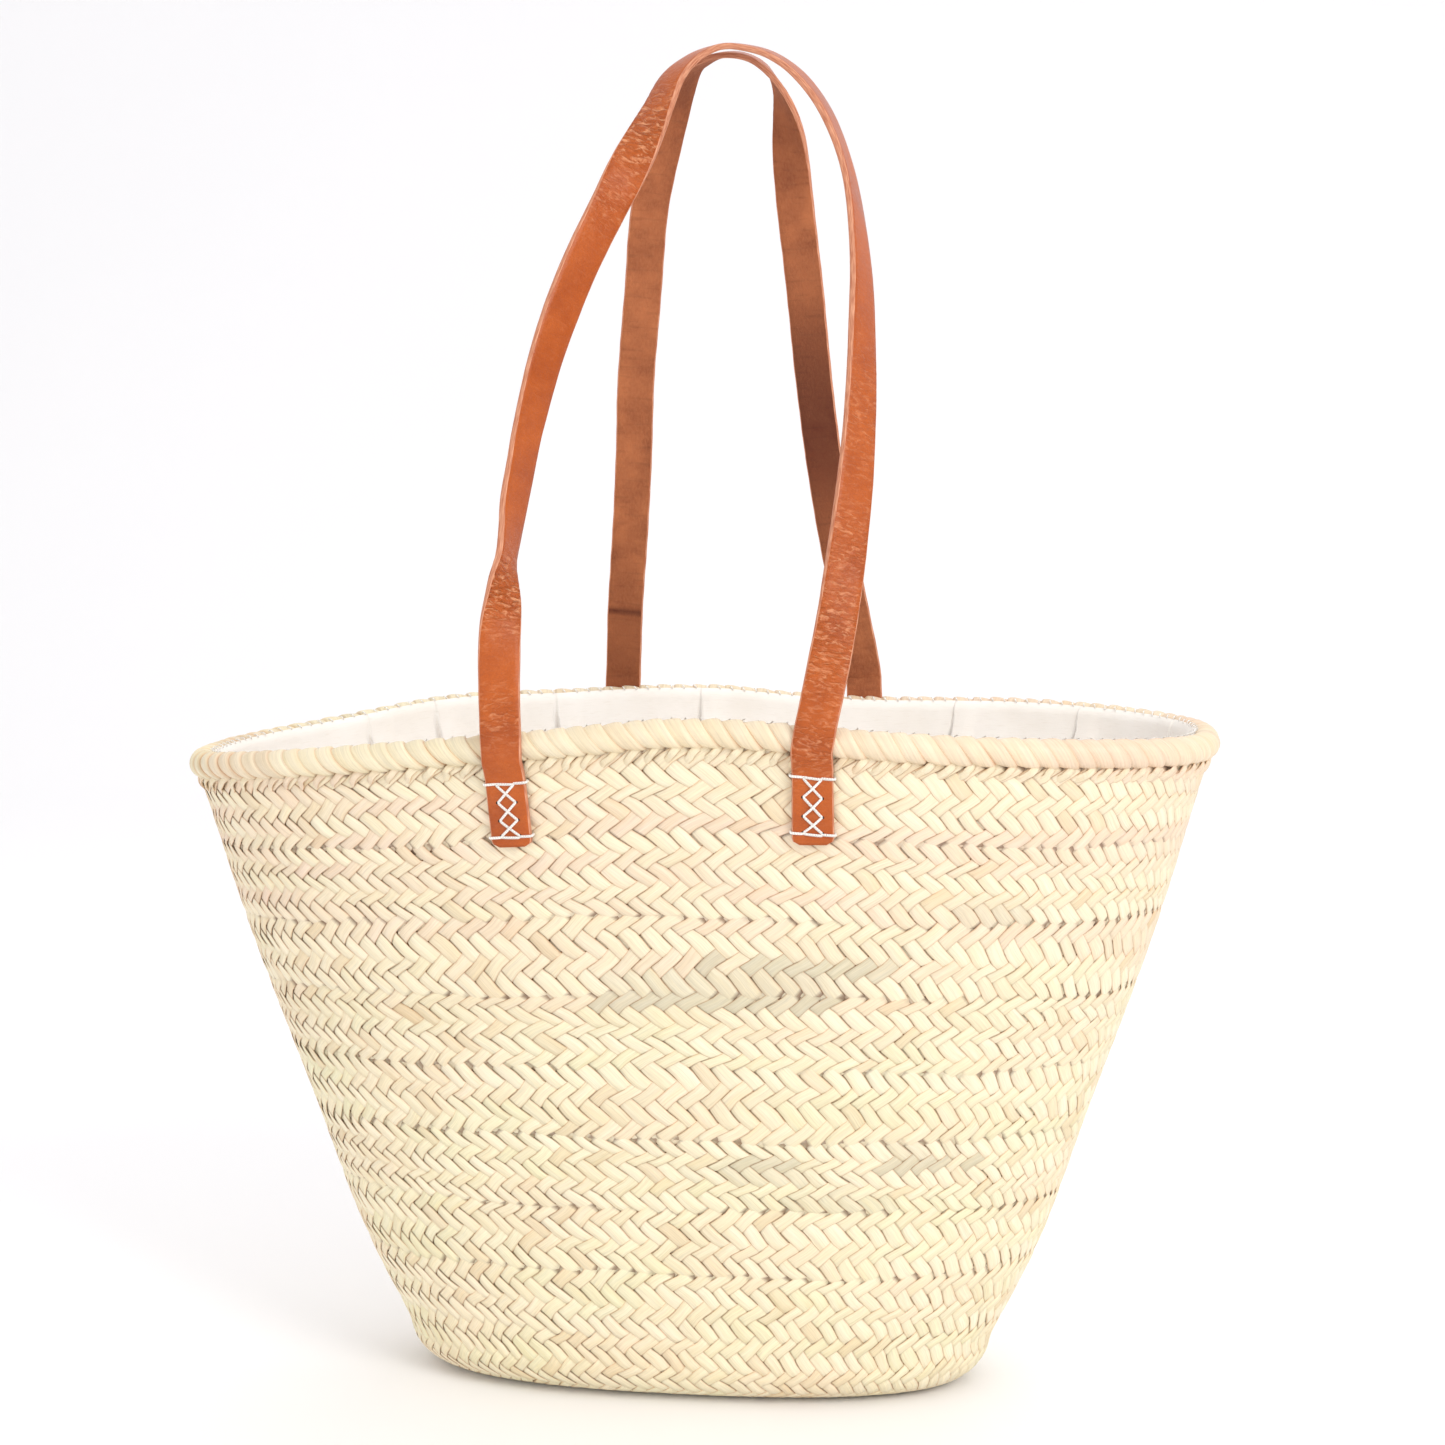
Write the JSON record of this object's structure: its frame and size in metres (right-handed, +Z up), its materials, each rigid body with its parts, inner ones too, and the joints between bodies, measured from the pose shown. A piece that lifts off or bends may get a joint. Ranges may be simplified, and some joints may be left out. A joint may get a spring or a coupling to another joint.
{
  "type": "woven market basket",
  "caption": "Oval plaited palm-leaf market basket with a flared wall, wrapped rim, cotton lining and two long leather shoulder straps that fold down outside.",
  "frame": {"origin": "on the ground under the middle of the basket", "axes": "+X to the basket's right seen from the front, +Y to the back, +Z up; the front faces -Y"},
  "size_m": [0.508, 0.2561, 0.6536],
  "materials": {
    "palm_plait": "dry plaited palm leaf, cream with pink and grey-green strands, matt with a soft waxy sheen",
    "palm_rim": "flat palm leaf wound tight at a slant, fine grain along the leaf",
    "palm_fibre": "rough twisted palm fibre, matt",
    "cotton": "thin plain-woven unbleached cotton, matt",
    "leather": "vegetable-tanned leather, glossy tan grain side, rough brown flesh side, pale cut edges",
    "thread": "waxed white cotton thread"
  },
  "bodies": {
    "root": {"base_panel": "palm_plait", "wall_course_1": "palm_plait", "wall_course_2": "palm_plait", "wall_course_3": "palm_plait", "wall_course_4": "palm_plait", "wall_course_5": "palm_plait", "wall_course_6": "palm_plait", "wall_course_7": "palm_plait", "wall_course_8": "palm_plait", "wall_course_9": "palm_plait", "joining_fibre": "palm_fibre", "rim_core": "palm_fibre", "rim_wrapping": "palm_rim", "rim_lashing": "palm_fibre", "lining_wall": "cotton", "lining_base": "cotton", "sewn_end_front_left": "leather", "sewn_end_front_right": "leather", "sewn_end_back_left": "leather", "sewn_end_back_right": "leather", "stitches_front_left": "thread", "stitches_front_right": "thread", "stitches_back_left": "thread", "stitches_back_right": "thread"},
    "front_strap": {"front_strap_loop": "leather"},
    "back_strap": {"back_strap_loop": "leather"}
  },
  "joints": [
    {"name": "front_strap_swing", "type": "hinge", "parent": "root", "child": "front_strap", "pos_m": [0, -0.1262, 0.328], "axis": [1, 0, 0], "range_deg": [0, 180]},
    {"name": "back_strap_swing", "type": "hinge", "parent": "root", "child": "back_strap", "pos_m": [0, 0.1262, 0.328], "axis": [-1, 0, 0], "range_deg": [0, 180]}
  ]
}
